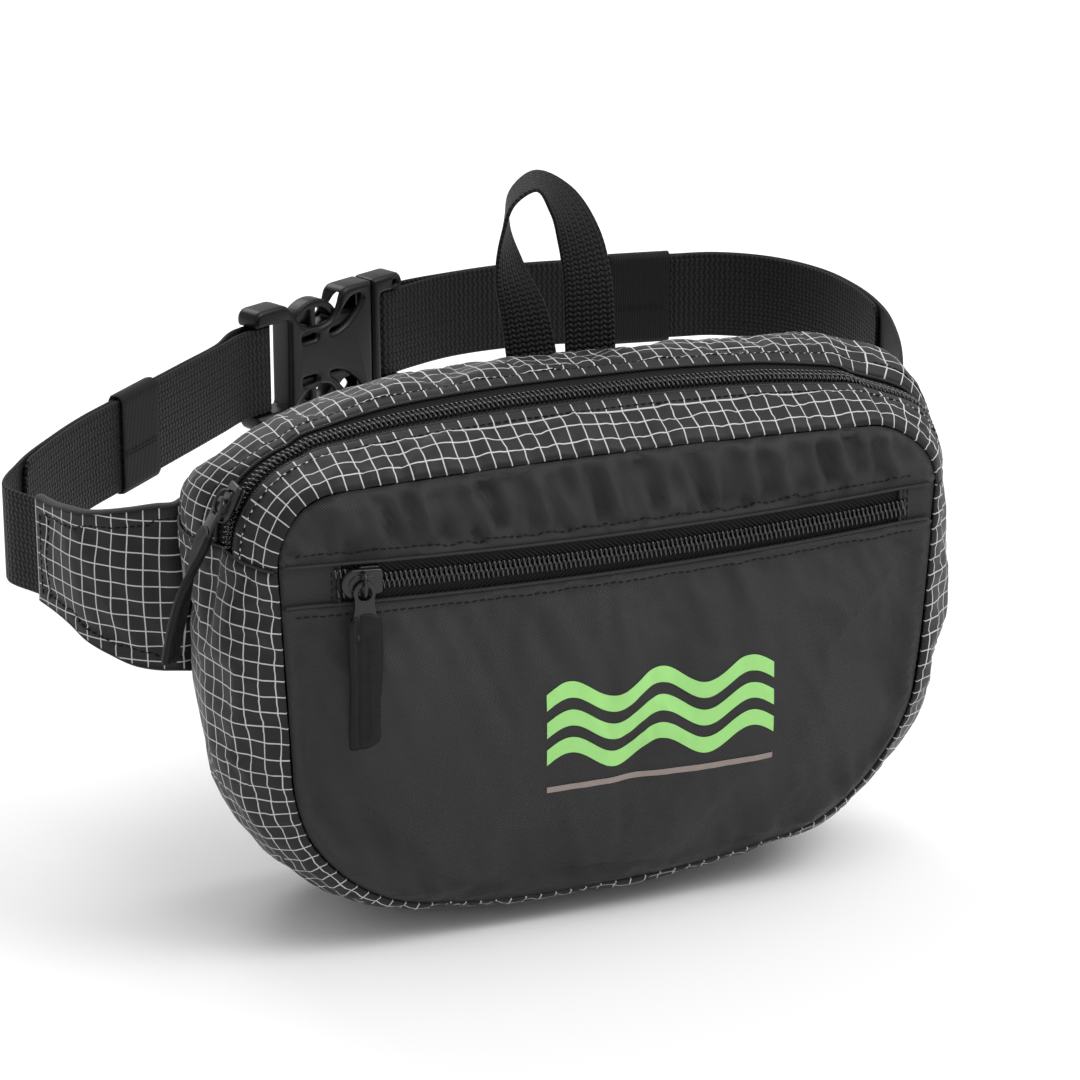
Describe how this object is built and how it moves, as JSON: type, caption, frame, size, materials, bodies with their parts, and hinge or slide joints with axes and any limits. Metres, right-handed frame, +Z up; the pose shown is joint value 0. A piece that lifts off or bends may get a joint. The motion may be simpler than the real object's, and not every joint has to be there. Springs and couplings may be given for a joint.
{
  "type": "waist pack",
  "caption": "Soft waist pack with a zipped main compartment, zipped front pocket, hang loop, side wings and a webbing belt with a side-release buckle.",
  "frame": {"origin": "on the back panel's rear face, at mid width, at the height where the wings meet the bag", "axes": "+X to the right seen from the front, +Y towards the wearer, +Z up"},
  "size_m": [0.4056, 0.3614, 0.2547],
  "materials": {
    "panel_fabric": "charcoal twill, plain woven, slightly shiny",
    "grid_fabric": "black ripstop with a fine white 6 mm grid",
    "lining": "thin black lining",
    "webbing": "coarse woven black webbing",
    "elastic": "ribbed black elastic",
    "zip_tape": "black twill zip tape",
    "zip_coil": "black nylon coil",
    "slider_metal": "black enamel",
    "puller": "folded black fabric",
    "buckle": "black acetal, satin",
    "print_green": "flat screen print",
    "print_taupe": "flat screen print"
  },
  "bodies": {
    "bag": {"front_panel_upper": "panel_fabric", "front_panel_lower": "panel_fabric", "front_zip_end_tab_left": "panel_fabric", "front_zip_end_tab_right": "panel_fabric", "front_zip_tape_upper": "zip_tape", "front_zip_tape_lower": "zip_tape", "front_zip_coil_upper": "zip_coil", "front_zip_coil_lower": "zip_coil", "front_pocket_lining": "lining", "print_waves": "print_green", "print_line": "print_taupe", "zip_gusset_front": "grid_fabric", "zip_gusset_back": "grid_fabric", "top_zip_tape_front": "zip_tape", "top_zip_tape_back": "zip_tape", "top_zip_coil_front": "zip_coil", "top_zip_coil_back": "zip_coil", "bottom_gusset": "grid_fabric", "back_panel": "lining", "front_seam_binding": "lining", "back_seam_binding": "lining", "wing_left": "grid_fabric", "wing_left_lining": "lining", "wing_right": "grid_fabric", "wing_right_lining": "lining", "belt_strap_left": "webbing", "belt_tail_left": "webbing", "buckle_female": "buckle", "belt_strap_right_free": "webbing", "belt_tail_right_free": "webbing", "belt_strap_right": "webbing", "belt_tail_right": "webbing"},
    "front_slider": {"front_zip_slider": "slider_metal"},
    "front_pull": {"front_zip_pull_tab": "slider_metal", "front_zip_puller": "puller"},
    "top_slider": {"top_zip_slider": "slider_metal"},
    "top_pull": {"top_zip_pull_tab": "slider_metal", "top_zip_puller": "puller"},
    "buckle_male": {"buckle_male": "buckle"},
    "prong_upper": {"buckle_prong_upper": "buckle"},
    "prong_lower": {"buckle_prong_lower": "buckle"},
    "keeper_left": {"keeper_left": "elastic"},
    "keeper_right": {"keeper_right": "elastic"},
    "hang_loop": {"hang_loop": "webbing"}
  },
  "joints": [
    {"name": "front_zip_run", "type": "slide", "parent": "bag", "child": "front_slider", "axis": [1, 0, 0], "range_m": [0, 0.196]},
    {"name": "front_pull_swing", "type": "hinge", "parent": "front_slider", "child": "front_pull", "pos_m": [-0.094, -0.0858, 0.0435], "axis": [-1, 0, 0], "range_deg": [0, 150]},
    {"name": "top_zip_run", "type": "hinge", "parent": "bag", "child": "top_slider", "pos_m": [-0.099, -0.052, 0.05], "axis": [0, 1, 0], "range_deg": [-13, 33]},
    {"name": "top_pull_swing", "type": "hinge", "parent": "top_slider", "child": "top_pull", "pos_m": [-0.13517, -0.052, 0.06843], "axis": [0, 1, 0], "range_deg": [0, 130]},
    {"name": "buckle_release", "type": "slide", "parent": "bag", "child": "buckle_male", "axis": [0.8988, 0.4384, 0], "range_m": [0, 0.045], "deforming": ["belt_strap_right_free", "belt_tail_right_free"]},
    {"name": "prong_upper_squeeze", "type": "hinge", "parent": "buckle_male", "child": "prong_upper", "pos_m": [0.01452, 0.24903, 0.033], "axis": [0.4384, -0.8988, 0], "range_deg": [0, 6], "stiffness_Nm_per_rad": 1.5},
    {"name": "prong_lower_squeeze", "type": "hinge", "parent": "buckle_male", "child": "prong_lower", "pos_m": [0.01452, 0.24903, 0.011], "axis": [-0.4384, 0.8988, 0], "range_deg": [0, 6], "stiffness_Nm_per_rad": 1.5},
    {"name": "keeper_left_slide", "type": "slide", "parent": "bag", "child": "keeper_left", "axis": [0.7328, 0.6805, 0], "range_m": [-0.012, 0.012]},
    {"name": "keeper_right_slide", "type": "slide", "parent": "bag", "child": "keeper_right", "axis": [0.9873, -0.1589, 0], "range_m": [-0.012, 0.012]},
    {"name": "hang_loop_fold", "type": "hinge", "parent": "bag", "child": "hang_loop", "pos_m": [0.01275, 0.0015, 0.089], "axis": [-1, 0, 0], "range_deg": [0, 85], "stiffness_Nm_per_rad": 0.02}
  ]
}
